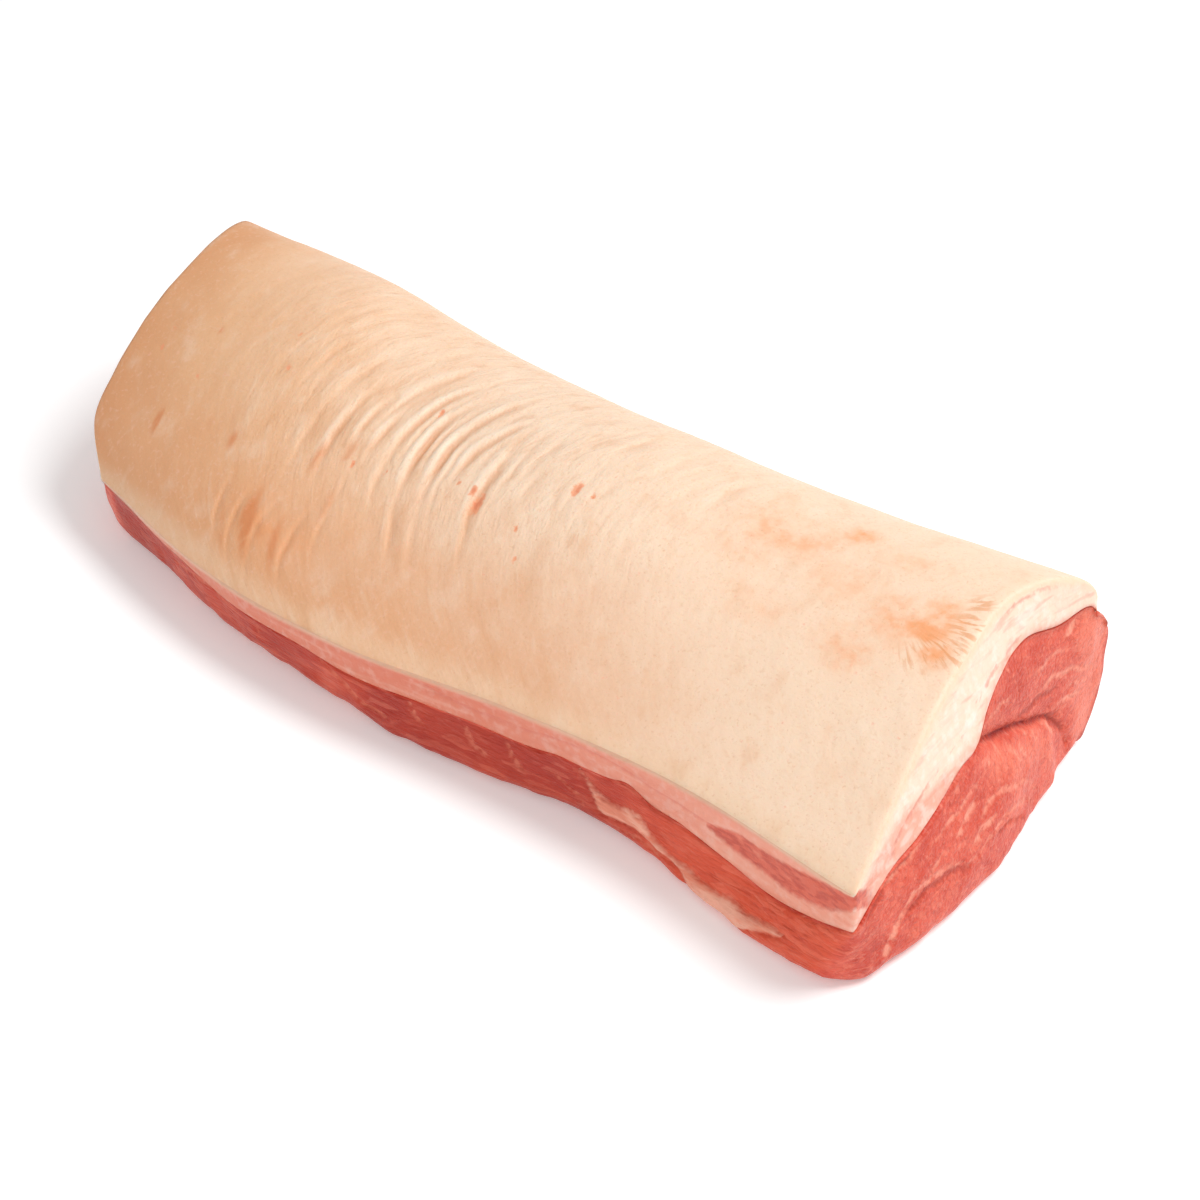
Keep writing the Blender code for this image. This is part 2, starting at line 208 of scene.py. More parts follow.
# Tongue of the lean streak at the corner of the cut fat: y, z, fall, half height and where it ends.
TONGUE_Y, TONGUE_Z, TONGUE_FALL, TONGUE_HIGH, TONGUE_END, TONGUE_TAPER = -95, 47.5, 0.615, 4.2, -85.0, 0.4

# Uneven relief: height, size of the lumps, seed.
RIND_LUMPS = ((0.55, 38, 1), (0.20, 13, 2), (0.04, 5, 4))
FAT_SIDE_LAYERS = ((0.35, (60, 30, 3.2), 6), (0.35, (22, 30, 9), 7))
FAT_FACE_LUMPS = ((0.30, 16, 9), (0.14, 5, 10))
LEAN_SIDE_LUMPS = ((0.9, (26, 40, 16), 27), (0.5, (9, 20, 8), 28), (0.2, 4, 29))
FOLD_WANDER = ((1.6, 22, 3), (0.7, 8, 11))
SEAM_WANDER_Y = ((1.3, 8, 21), (0.8, 3.5, 22))
SEAM_WANDER_Z = ((1.3, 8, 23), (0.8, 3.5, 24))
OUTSIDE = -9.0  # reading of a strip or seam well away from it


# --- Arithmetic on whole arrays.

def mix(a, b, share):
    return a + (b - a) * share


def smooth(t):
    t = np.clip(t, 0.0, 1.0)
    return t * t * (3 - 2 * t)


def spline(values, t):
    """Catmull-Rom curve through equally spaced values, t from 0 to 1."""
    last = len(values) - 1
    padded = np.array([2 * values[0] - values[1], *values, 2 * values[-1] - values[-2]], float)
    place = np.clip(np.asarray(t, float), 0.0, 1.0) * last
    i = np.minimum(place.astype(int), last - 1)
    t = place - i
    a, b, c, d = padded[i], padded[i + 1], padded[i + 2], padded[i + 3]
    square, cube = 2 * a - 5 * b + 4 * c - d, 3 * b - a - 3 * c + d
    return 0.5 * (2 * b + (c - a) * t + square * t ** 2 + cube * t ** 3)


def fillet(distance, radius):
    inside = np.clip(radius - distance, 0.0, radius)
    return radius - np.sqrt(np.maximum(radius ** 2 - inside ** 2, 0.0))


def noise(points, size, seed):
    """Smooth value noise from -1 to 1, with lumps about `size` across (a number or one per axis)."""
    cell = points / np.asarray(size, float) + 19.7 * seed
    low = np.floor(cell).astype(np.int64)
    t = cell - low
    t = t * t * (3 - 2 * t)
    total = np.zeros(len(points))
    for corner in itertools.product((0, 1), repeat=3):
        at = low + np.array(corner)
        mixed = (at[:, 0] * 73856093) ^ (at[:, 1] * 19349663) ^ (at[:, 2] * 83492791) ^ (seed * 2654435)
        mixed = ((mixed ^ (mixed >> 13)) * 1274126177) & 0xFFFFFFFF
        weight = np.prod(np.where(np.array(corner) == 1, t, 1 - t), axis=1)
        total += weight * (((mixed >> 8) & 0xFFFF) / 32767.5 - 1)
    return total


def waves(points, layers):
    """Layers of noise, each a height, the size of its lumps and a seed."""
    return sum(height * noise(points, size, seed) for height, size, seed in layers)


def distance_to_line(a, b, bends):
    """Distance of points (a, b) to a line of bends, and the share of the line reached there."""
    nearest = np.full(np.shape(a), 1e9)
    reached = np.zeros(np.shape(a))
    count = len(bends) - 1
    for number in range(count):
        (a0, b0), (a1, b1) = bends[number], bends[number + 1]
        da, db = a1 - a0, b1 - b0
        t = np.clip(((a - a0) * da + (b - b0) * db) / (da ** 2 + db ** 2), 0, 1)
        away = np.hypot(a - a0 - t * da, b - b0 - t * db)
        closer = away < nearest
        nearest = np.where(closer, away, nearest)
        reached = np.where(closer, (number + t) / count, reached)
    return nearest, reached


def seams_inside(a, b, seams, taper=0.55):
    """How far inside the nearest seam a point lies, in mm; seams thin out towards their ends."""
    inside = np.full(np.shape(a), OUTSIDE)
    for bends, half_width in seams:
        away, reached = distance_to_line(a, b, bends)
        width = half_width * (1 - taper * np.abs(2 * reached - 1) ** 3)
        inside = np.maximum(inside, width - away)
    return inside


# --- Outer form: the frame's, with a finer seat line and far cut.

def crown(e):
    rising = np.sin(math.pi / 2 * e / CROWN_AT)
    falling = np.sqrt(np.maximum(0.0, 1 - ((e - CROWN_AT) / (1 - CROWN_AT)) ** 2))
    return np.where(e < CROWN_AT, rising, falling)


def rind_yz(s, e):
    y = mix(spline(RIND_FRONT_Y, s), spline(RIND_BACK_Y, s), e)
    z = mix(spline(RIND_FRONT_Z, s), spline(RIND_BACK_Z, s), e)
    return y, z + spline(CROWN_RISE, s) * crown(e)


def front_depth(s):
    depth = spline(FAT_DEPTH, s)
    for place, height, width in LEAN_HUMPS:
        depth = depth - height * np.exp(-((s - place) / width) ** 2)
    return depth


def seat_yz(s, e):
    """Underside of the cap, where it sits on the lean."""
    y, z = rind_yz(s, e)
    inner = spline(CAP_DEPTH, e) * mix(FAR_CAP_SHARE, 1, s)
    inner = inner + NOTCH_DEPTH * np.exp(-((e - NOTCH_AT) / NOTCH_WIDTH) ** 2)
    return y, z - mix(front_depth(s), inner, smooth(e / FRONT_BLEND))


def face_x(near, y, z):
    """The cut face at the near or the far end: it slumps outward from the rind to the table."""
    s = 1.0 if near else 0.0
    front, back = spline(RIND_FRONT_Y, s), spline(RIND_BACK_Y, s)
    e = (y - front) / (back - front)
    rind = spline(NEAR_RIND_X if near else FAR_RIND_X, e)
    foot = spline(NEAR_FOOT_X if near else FAR_FOOT_X, e)
    top = rind_yz(s, np.clip(e, 0.0, 1.0))[1]
    return mix(foot, rind, np.clip(z / top, 0.0, 1.0) ** FACE_SLUMP)


def belly_side(s, up):
    y_top, z_top = seat_yz(s, np.zeros_like(s * up))
    z = z_top * up
    return y_top - spline(FOOT_STANDS_OUT, s) * (1 - up) + fillet(z, FRONT_FOOT_RADIUS), z


def back_side(s, up):
    y_top, z_top = seat_yz(s, np.ones_like(s * up))
    return y_top + spline(BACK_STANDS_OUT, up), z_top * up


def lean_yz(s, e, up):
    """A point inside the lean's section."""
    nought, one = np.zeros_like(s * e * up), np.ones_like(s * e * up)
    front, back = belly_side(s, up)[0], back_side(s, up)[0]
    front_foot, back_foot = belly_side(s, nought)[0], back_side(s, nought)[0]
    y_seat, z_seat = seat_yz(s, e * one)
    front_bow = front - mix(front_foot, seat_yz(s, nought)[0], up)
    back_bow = back - mix(back_foot, seat_yz(s, one)[0], up)
    return mix(mix(front_foot, back_foot, e), y_seat, up) + mix(front_bow, back_bow, e), z_seat * up


def lean_face_x(near, e, up):
    """The lean's cut face with rounded edges; its top row follows the cap."""
    s = np.full(np.shape(e), 1.0 if near else 0.0)
    y, z = lean_yz(s, e, up)
    front, back = belly_side(s, up)[0], back_side(s, up)[0]
    fall = fillet(z, FACE_FOOT_RADIUS)
    fall = np.maximum(fall, fillet(y - front, mix(FACE_LOW_RADIUS, FACE_HIGH_RADIUS, up)))
    fall = np.maximum(fall, fillet(back - y, FACE_HIGH_RADIUS))
    fall = fall * smooth((1 - up) / SEAT_BLEND)
    if not near:
        fall = fall + FAR_TUCK * (1 - smooth(e / FAR_TUCK_REACH)) * smooth(up)
    return face_x(near, y, z) - (1 if near else -1) * fall


# --- Meshes as arrays of points and quads.

class Body:
    """Points with their place on the loin, and the quads between them."""

    TOP, SIDE, HIDDEN, BACK, NEAR, FAR, FOOT = range(7)

    def __init__(self):
        self.points, self.s, self.e, self.region = [], [], [], []
        self.quads, self.kinds = [], []
        self.count = 0

    def add(self, x, y, z, s, e, region):
        shape = np.shape(x)
        ids = np.arange(self.count, self.count + np.size(x)).reshape(shape)
        self.count += np.size(x)
        self.points.append(np.stack([np.ravel(x), np.ravel(y), np.ravel(z)], 1))
        for store, value in ((self.s, s), (self.e, e), (self.region, region)):
            store.append(np.broadcast_to(value, shape).ravel().astype(float))
        return ids

    def join(self, lower, upper, flip, kinds):
        corners = np.stack([lower[:-1], lower[1:], upper[1:], upper[:-1]], -1)
        self.quads.append(corners[:, ::-1] if flip else corners)
        self.kinds.append(np.broadcast_to(kinds, len(corners)))

    def close(self):
        self.points = np.concatenate(self.points)
        self.s, self.e = np.concatenate(self.s), np.concatenate(self.e)
        self.region = np.concatenate(self.region).astype(int)
        self.quads, self.kinds = np.concatenate(self.quads), np.concatenate(self.kinds)


def quad_normals(points, quads):
    a, b, c, d = (points[quads[:, k]] for k in range(4))
    return np.cross(c - a, d - b)


def point_normals(points, quads):
    total = np.zeros_like(points)
    face = quad_normals(points, quads)
    for k in range(4):
        np.add.at(total, quads[:, k], face)
    return total / np.maximum(np.linalg.norm(total, axis=1), 1e-12)[:, None]


def relax(points, quads, weight, rounds):
    """Rounds sharp edges: each point moves to its neighbours' mean by its weight."""
    a = quads.ravel()
    b = np.roll(quads, -1, axis=1).ravel()
    ends = np.concatenate([a, b])
    others = np.concatenate([b, a])
    share = np.bincount(ends, minlength=len(points)).astype(float)
    for _ in range(rounds):
        total = np.stack([np.bincount(ends, points[others, k], len(points)) for k in range(3)], 1)
        points = mix(points, total / share[:, None], weight[:, None])
    return points


def stations():
    plain_low = np.arange(0, FOLDED_FROM, PLAIN_STEP / LOIN_LENGTH)
    folded = np.arange(FOLDED_FROM, FOLDED_TO, FOLDED_STEP / LOIN_LENGTH)
    plain_high = np.linspace(FOLDED_TO, 1, int((1 - FOLDED_TO) * LOIN_LENGTH / PLAIN_STEP))
    return np.concatenate([plain_low, folded, plain_high])


def build_cap():
    body = Body()
    places = stations()
    across = np.linspace(0, 1, CAP_COLUMNS + 1)
    down = np.linspace(0, 1, CAP_SIDE_ROWS + 2)[1:-1]
    behind = np.linspace(0, 1, CAP_BACK_ROWS + 2)[1:-1]
    e_loop = np.concatenate([across, np.ones(CAP_BACK_ROWS), across[::-1], np.zeros(CAP_SIDE_ROWS)])
    deep = np.concatenate([np.zeros(len(across)), behind, np.ones(len(across)), down[::-1]])
    region = np.concatenate([np.full(len(across), Body.TOP), np.full(CAP_BACK_ROWS, Body.BACK),
                             np.full(len(across), Body.HIDDEN), np.full(CAP_SIDE_ROWS, Body.SIDE)])

    def point(s, e, depth):
        y_top, z_top = rind_yz(s, e)
        return y_top, mix(z_top, seat_yz(s, e)[1], depth)

    ends = [face_x(near, *point(np.full(len(e_loop), float(near)), e_loop, deep)) for near in (False, True)]
    rows = []
    for s in places:
        y, z = point(np.full(len(e_loop), s), e_loop, deep)
        rows.append(body.add(mix(ends[0], ends[1], s), y, z, s, e_loop, region))
    kinds = np.where(np.arange(len(e_loop)) < CAP_COLUMNS, 0, 1)
    for lower, upper in zip(rows, rows[1:]):
        body.join(np.append(lower, lower[0]), np.append(upper, upper[0]), True, kinds)
    for near, row in ((False, rows[0]), (True, rows[-1])):
        s = float(near)
        top, seat = row[:CAP_COLUMNS + 1], row[CAP_COLUMNS + 1 + CAP_BACK_ROWS:][:CAP_COLUMNS + 1][::-1]
        side, back = row[-CAP_SIDE_ROWS:][::-1], row[CAP_COLUMNS + 1:][:CAP_BACK_ROWS]
        # Inner rows follow the belly side's rows, and thin out to the back edge's few rows.
        grid = [top]
        for k, share in enumerate(down):
            e = across[1:-1]
            y, z = point(np.full(len(e), s), e, np.full(len(e), share))
            x = face_x(near, y, z)
            inner = body.add(x, y, z, s, e, Body.NEAR if near else Body.FAR)
            last = back[min(int((k + 0.5) / CAP_SIDE_ROWS * CAP_BACK_ROWS), CAP_BACK_ROWS - 1)]
            grid.append(np.concatenate([[side[k]], inner, [last]]))
        grid.append(seat)
        for lower, upper in zip(grid, grid[1:]):
            body.join(lower, upper, near, 1)
    body.close()
    whole = np.array([len(set(q)) == 4 for q in body.quads[-2 * (CAP_SIDE_ROWS + 1) * CAP_COLUMNS:]])
    body.flat_corners = np.concatenate([np.ones(len(body.quads) - len(whole), bool), whole])
    return body


def build_lean():
    body = Body()
    across = np.linspace(0, 1, LEAN_COLUMNS + 1)
    upward = np.linspace(0, 1, LEAN_ROWS + 1)
    e_loop = np.concatenate([across[:-1], np.ones(LEAN_ROWS), across[:0:-1], np.zeros(LEAN_ROWS)])
    up = np.concatenate([np.ones(LEAN_COLUMNS), upward[:0:-1], np.zeros(LEAN_COLUMNS), upward[:-1]])
    region = np.concatenate([np.full(LEAN_COLUMNS, Body.HIDDEN), np.full(LEAN_ROWS, Body.BACK),
                             np.full(LEAN_COLUMNS, Body.FOOT), np.full(LEAN_ROWS, Body.SIDE)])
    ends = [lean_face_x(near, e_loop, up) for near in (False, True)]
    rows = []
    for s in np.linspace(0, 1, LEAN_STATIONS):
        y, z = lean_yz(np.full(len(e_loop), s), e_loop, up)
        rows.append(body.add(mix(ends[0], ends[1], s), y, z, s, e_loop, region))
    for lower, upper in zip(rows, rows[1:]):
        body.join(np.append(lower, lower[0]), np.append(upper, upper[0]), True, 0)
    for near, row in ((False, rows[0]), (True, rows[-1])):
        seat = row[:LEAN_COLUMNS + 1]
        back = row[LEAN_COLUMNS:][:LEAN_ROWS + 1][::-1]
        foot = row[LEAN_COLUMNS + LEAN_ROWS:][:LEAN_COLUMNS + 1][::-1]
        side = np.append(row[2 * LEAN_COLUMNS + LEAN_ROWS:], row[0])
        grid = [foot]
        for j in range(1, LEAN_ROWS):
            e = across[1:-1]
            height = np.full(len(e), upward[j])
            y, z = lean_yz(np.full(len(e), float(near)), e, height)
            x = lean_face_x(near, e, height)
            inner = body.add(x, y, z, float(near), e, Body.NEAR if near else Body.FAR)
            grid.append(np.concatenate([[side[j]], inner, [back[j]]]))
        grid.append(seat)
        for lower, upper in zip(grid, grid[1:]):
            body.join(lower, upper, not near, 0)
    body.close()
    body.flat_corners = np.ones(len(body.quads), bool)
    return body


# --- Relief, in mm outward, and the masks that the materials read.

def fold_relief(s, e, points):
    """Folds of the rind: height, how deep in a valley and how high on a ridge each point lies.

    A fold drops steeply from its ridge on the far side and rises slowly towards the near side."""
    height, valley, ridge = np.zeros_like(s), np.zeros_like(s), np.zeros_like(s)
    wander = waves(points, FOLD_WANDER)
    uneven = np.clip(0.85 + 0.6 * noise(points, 14, 5), 0.1, 1.5)
    high_up = mix(LOW_CREST, 1.0, smooth((e - LOW_CREST_FROM) / LOW_CREST_BLEND))
    folds = list(FOLDS)
    for number, (place, middle, reach, bow, slant, depth, width) in enumerate(FOLDS[:MAIN_FOLDS]):
        middle += 0.09 * math.sin(2.1 * number)
        reach, width = BETWEEN_SIZE * reach, BETWEEN_SIZE * width
        folds.append((place + BETWEEN_FOLDS, middle, reach, bow, slant, BETWEEN_DEEP * depth, width))
    for number in range(FAINT_FOLDS):
        place = FAINT_FROM + FAINT_PITCH * (number + 0.3 * math.sin(2.3 * number))
        middle = FAINT_MIDDLE + 0.12 * math.sin(1.9 * number + 0.4)
        folds.append((place, middle, *FAINT_SHAPE))
    for place, middle, reach, bow, slant, depth, width in folds:
        depth, width = FOLD_DEEPER * depth, FOLD_WIDER * width
        line = place + bow * (e - BOW_MIDDLE) ** 2 + slant * (e - middle)
        away = (s - line) * LOIN_LENGTH + wander
        share = (1 - smooth(np.abs(e - middle) / reach * 0.9)) * uneven
        cut = np.exp(-(away / np.where(away < 0, FOLD_STEEP * width, FOLD_GENTLE * width)) ** 2) * share
        crest = np.exp(-((away + CREST_AWAY * width) / (CREST_WIDTH * width)) ** 2) * share * high_up
        height += depth * (CREST_HEIGHT * crest - cut)
        valley += depth * cut
        ridge += depth * crest
    return height, valley, ridge


def spots(s, e, marks):
    """Soft oval marks, 1 in their middle and 0 well outside."""
    total = np.zeros_like(s)
    for mark in marks:
        place, middle, half_s, half_e = mark[:4]
        strength = mark[4] if len(mark) > 4 else 1.0
        away = np.hypot((s - place) * LOIN_LENGTH / half_s, (e - middle) * LOIN_WIDTH / half_e)
        total = np.maximum(total, strength * np.clip(1.5 - away, 0, 1.2))
    return total


def rind_depth(body):
    return rind_yz(body.s, np.clip(body.e, 0, 1))[1] - body.points[:, 2]


def finish_cap(body):
    """Returns the relief and the masks of the rind and fat."""
    s, e, p, region = body.s, body.e, body.points, body.region
    depth = rind_depth(body)
    top, side = region == Body.TOP, region == Body.SIDE
    face = (region == Body.NEAR) | (region == Body.FAR)
    height, valley, ridge = fold_relief(s, e, p)
    fade = smooth(e / 0.03)
    fan_x, fan_y = (s - FAN_AT[0]) * LOIN_LENGTH, (e - FAN_AT[1]) * LOIN_WIDTH
    scar, stain, blush, bristle = (spots(s, e, marks) for marks in (SCARS, STAINS, BLUSHES, BRISTLES))
    relief = np.where(top, height * fade, 0.0)
    relief += np.where(top, waves(p, RIND_LUMPS), 0.0)
    relief += np.where(top, -0.35 * np.clip(scar, 0, 1), 0.0)
    relief += np.where(side, waves(p, FAT_SIDE_LAYERS), 0.0)
    relief += np.where(face, waves(p, FAT_FACE_LUMPS), 0.0)

    t = (s - STRIP_FROM) / (1 - STRIP_FROM)
    strip = np.minimum(depth - spline(STRIP_TOP, t), spline(STRIP_BOTTOM, t) - depth)
    strip = np.where((t > 0) & side, strip, OUTSIDE)
    line_t = (s - LINE_FROM) / (LINE_TO - LINE_FROM)
    line = LINE_WIDTH - np.abs(depth - spline(LINE_DEPTH, line_t) + 0.5 * noise(p, 12, 12))
    line = np.where((line_t > 0) & (line_t < 1) & side, line, OUTSIDE)
    y, z = p[:, 1], p[:, 2]
    wobble = 0.8 * noise(p, 7, 13)
    streak = np.where(face, seams_inside(y + wobble, z + wobble, FAT_LINES), line)
    tongue_away = np.abs(z - TONGUE_Z + TONGUE_FALL * (y - TONGUE_Y))
    tongue = np.minimum(TONGUE_HIGH - tongue_away, TONGUE_TAPER * (TONGUE_END - y))
    strip = np.where(region == Body.NEAR, tongue, strip)
    gleam = np.zeros_like(s)
    for y0, z0, wide, high in FAT_GLEAMS:
        gleam = np.maximum(gleam, np.clip(1.4 - np.hypot((y - y0 - (z - z0)) / wide, (z - z0) / high), 0, 1))
    gleam = np.where(face, gleam, 0.0)
    below = depth / np.maximum(rind_yz(s, e)[1] - seat_yz(s, e)[1], 1.0)
    low_front = 1 - smooth((y + 75) / 60)
    pink = np.where(face, 0.95 * smooth((below - 0.58 + 0.57 * low_front) / 0.46), 0.0)
    pink = np.where(side | (region == Body.BACK) | (region == Body.HIDDEN), 1.0, pink)
    cut = face | (s < 0.0005) | (s > 0.9995)
    relief += np.where(side, -0.5 * smooth(strip / 1.5 + 0.5) - 0.35 * smooth(line / 0.8 + 0.5), 0.0)
    relief += np.where(face, 0.3 * gleam - 0.4 * smooth(streak / 0.8 + 0.5), 0.0)
    # valley and ridge feed the rind's darker tan and painted shade in the fold valleys, and its painted
    # highlight on the crests.
    masks = {"along": s, "across": e, "bowed": s - STREAK_BOW * (e - BOW_MIDDLE) ** 2, "depth": depth,
             "valley": valley * top, "ridge": ridge * top, "scar": scar, "stain": stain, "blush": blush,
             "bristle": bristle, "fan_turn": np.arctan2(fan_y, fan_x), "fan_far": np.hypot(fan_x, fan_y),
             "strip": strip, "streak": streak, "pink": pink, "gleam": gleam, "face": cut.astype(float)}
    return relief, masks


def crease_relief(y, z):
    away, reached = distance_to_line(y, z, CREASE)
    strength = spline(CREASE_STRENGTH, reached)
    (y0, z0), (y1, z1) = CREASE[0], CREASE[4]
    above = ((z - z0) * (y1 - y0) - (y - y0) * (z1 - z0)) / math.hypot(y1 - y0, z1 - z0)
    eye = smooth(0.5 + np.maximum(above, y - y1) / 9.0)
    fork_away, fork_reached = distance_to_line(y, z, FORK)
    fork = spline(FORK_STRENGTH, fork_reached)
    depth = strength * (2.6 * np.exp(-(away / 1.6) ** 2) + 1.8 * np.exp(-(away / 6.5) ** 2))
    depth = np.maximum(depth, fork * 2.4 * np.exp(-(fork_away / 1.8) ** 2))
    # The line that the lean's material darkens as painted shade in the crease.
    line = np.maximum(strength * np.exp(-(away / 1.3) ** 2), fork * np.exp(-(fork_away / 1.2) ** 2))
    return depth, eye, above, line


def finish_lean(body):
    """Returns the relief and the masks of the lean."""
    s, p, region = body.s, body.points, body.region
    y, z = p[:, 1], p[:, 2]
    side, face = region == Body.SIDE, (region == Body.NEAR) | (region == Body.FAR)
    back = region == Body.BACK
    wobble, other = waves(p, SEAM_WANDER_Y), waves(p, SEAM_WANDER_Z)
    crease, eye, above, crease_shade = crease_relief(y + 0.3 * wobble, z + 0.3 * other)
    groove = np.where(region == Body.FAR, 0.45, 1.0) * np.where(face, crease + 2.0 * eye, 0.0)
    face_seam = seams_inside(y + wobble, z + other, FACE_SEAMS)
    shaded_groove = seams_inside(y + wobble, z + other, SHADED_GROOVES)
    along = s * LOIN_LENGTH
    side_lines = [([(a * LOIN_LENGTH, b) for a, b in bends], width) for bends, width in SIDE_SEAMS]
    side_seam = seams_inside(along + wobble, z + other, side_lines)
    t = (s - PALE_FROM) / (PALE_TO - PALE_FROM)
    pale = np.minimum(spline(PALE_TOP, t) - z, z - spline(PALE_BOTTOM, t)) + 0.7 * wobble
    pale = np.where((t > 0) & (t < 1) & side, pale, OUTSIDE)
    back_gaps = np.clip(noise(p, (40, 40, 20), 33) + 0.3, 0, 1)
    back_seam = 0.7 - np.abs(noise(p, (150, 40, 11), 31)) * 8 - 1.6 * back_gaps
    seam = np.where(face, face_seam, np.where(side, side_seam, np.where(back, back_seam, OUTSIDE)))
    lumps = np.zeros_like(s)
    for y0, z0, wide, high, rise in FACE_LUMPS:
        lumps += rise * np.exp(-((y - y0) / wide) ** 2 - ((z - z0) / high) ** 2)
    relief = np.where(face, lumps + 0.55 * noise(p, 11, 25) + 0.32 * noise(p, 4.5, 26) - groove, 0.0)
    relief -= np.where(face, 0.7 * smooth(shaded_groove / 1.6 + 0.5), 0.0)
    relief += np.where(face, -0.35 * smooth(face_seam / 1.0 + 0.5), 0.0)
    relief += np.where(side | back, waves(p, LEAN_SIDE_LUMPS) * smooth(z / 3.0), 0.0)
    relief += np.where(side, -0.7 * smooth(side_seam / 1.2 + 0.5) + 0.5 * smooth(pale / 2.5), 0.0)
    relief += np.where(side, -1.0 * np.exp(-((pale + 0.6) / 0.9) ** 2) * (pale > -3), 0.0)
    relief *= 1 - 0.9 * np.exp(-(np.maximum(0, 94 - y) / 10) ** 2 - ((z - 66) / 10) ** 2)
    dark = np.zeros_like(s)
    for place, half, strength_dark in SIDE_SHADES:
        dark += strength_dark * np.exp(-((s - place) / half) ** 2)
    dark = np.where(side, np.clip(dark + 0.3 * noise(p, (30, 40, 14), 30), -0.4, 1.1), 0.0)
    dark = np.where(back, 0.25 + 0.4 * noise(p, 40, 32), dark)
    face_tone_and_shading = 0.35 * np.exp(-((y + 84) / 10) ** 2) - 0.55 * smooth((y - 62) / 22) * eye
    # Painted highlight: the front muscle is lighter just below the crease.
    face_tone_and_shading -= 0.42 * np.exp(-((above + 10) / 9) ** 2) * smooth((y + 12) / 16) * (1 - eye)
    for y0, z0, wide, high, strength_dark in FACE_SHADES:
        face_tone_and_shading += strength_dark * np.exp(-((y - y0) / wide) ** 2 - ((z - z0) / high) ** 2)
    dark = np.where(face, face_tone_and_shading, dark)
    masks = {"along": s, "pale": pale, "seam": seam, "dark": dark, "crease": np.where(face, crease_shade, 0.0),
             "side": side.astype(float), "line": np.where(face, shaded_groove, OUTSIDE)}
    return relief, masks


# --- Materials.

def srgb(red, green, blue):
    linear = [(v / 255 / 12.92) if v / 255 <= 0.04045 else ((v / 255 + 0.055) / 1.055) ** 2.4
              for v in (red, green, blue)]
    return (*linear, 1.0)


class Paint:
    """A Principled material and short names for the nodes that feed it."""

    def __init__(self, name):
        self.material = bpy.data.materials.new(name)
        self.material.use_nodes = True
        self.tree = self.material.node_tree
        self.shader = self.tree.nodes["Principled BSDF"]
        self.place = self.node("TexCoord").outputs["Object"]

    def feed(self, socket, value):
        if isinstance(value, bpy.types.NodeSocket):
            self.tree.links.new(value, socket)
        else:
            socket.default_value = value

    def node(self, kind):
        return self.tree.nodes.new("ShaderNode" + kind)

    def fed(self, node, inputs):
        """The node, with a value or a link in each of the inputs."""
        for name, value in inputs.items():
            self.feed(node.inputs[name], value)
        return node

    def math(self, operation, first, second=0.0):
        node = self.node("Math")
        node.operation = operation
        return self.fed(node, {0: first, 1: second}).outputs[0]

    def times(self, first, second):
        return self.math("MULTIPLY", first, second)

    def plus(self, first, second):
        return self.math("ADD", first, second)

    def rest_of(self, share):
        return self.math("SUBTRACT", 1.0, share)

    def swing(self, cloudy, reach):
        """Noise as a swing to both sides of nought."""
        return self.times(self.math("SUBTRACT", cloudy, 0.5), reach)

    def mask(self, name):
        node = self.node("Attribute")
        node.attribute_name = name
        return node.outputs["Fac"]

    def plane(self, first, second):
        return self.fed(self.node("CombineXYZ"), {0: first, 1: second}).outputs[0]

    def scaled(self, size, stretch, place=None):
        scale = [1 / (size * part) for part in stretch]
        return self.fed(self.node("Mapping"), {"Scale": scale, "Vector": place or self.place}).outputs[0]

    def noise(self, size, detail=2.0, stretch=(1.0, 1.0, 1.0), twist=0.0, place=None):
        """Cloudy noise around 0.5 with lumps about `size` metres across, longer where stretch is above 1."""
        inputs = {"Vector": self.scaled(size, stretch, place), "Scale": 1.0}
        inputs.update({"Detail": detail, "Distortion": twist})
        return self.fed(self.node("TexNoise"), inputs).outputs["Fac"]

    def cells(self, size, stretch):
        """A cell pattern: distance to the walls, and a random tone for each cell."""
        place = self.scaled(size, stretch)
        found = []
        for feature, output in (("DISTANCE_TO_EDGE", "Distance"), ("F1", "Color")):
            node = self.node("TexVoronoi")
            node.feature = feature
            found.append(self.fed(node, {"Scale": 1.0, "Vector": place}).outputs[output])
        return found[0], self.fed(self.node("SeparateColor"), {0: found[1]}).outputs[0]

    def step(self, value, low, high, top=1.0):
        node = self.node("MapRange")
        node.interpolation_type = "SMOOTHSTEP"
        return self.fed(node, {"Value": value, "From Min": low, "From Max": high, "To Max": top}).outputs[0]

    def layer(self, below, colour, mask):
        node = self.node("Mix")
        node.data_type = "RGBA"
        return self.fed(node, {0: mask, 6: below, 7: colour}).outputs[2]

    def bump(self, height, distance, under=None):
        node = self.fed(self.node("Bump"), {"Distance": distance, "Height": height})
        if under is not None:
            self.feed(node.inputs["Normal"], under)
        return node.outputs["Normal"]

    def finish(self, colour, roughness, normal, **plain):
        self.feed(self.shader.inputs["Base Color"], colour)
        self.feed(self.shader.inputs["Roughness"], roughness)
        self.feed(self.shader.inputs["Normal"], normal)
        for name, value in plain.items():
            self.shader.inputs[name.replace("_", " ")].default_value = value
        return self.material


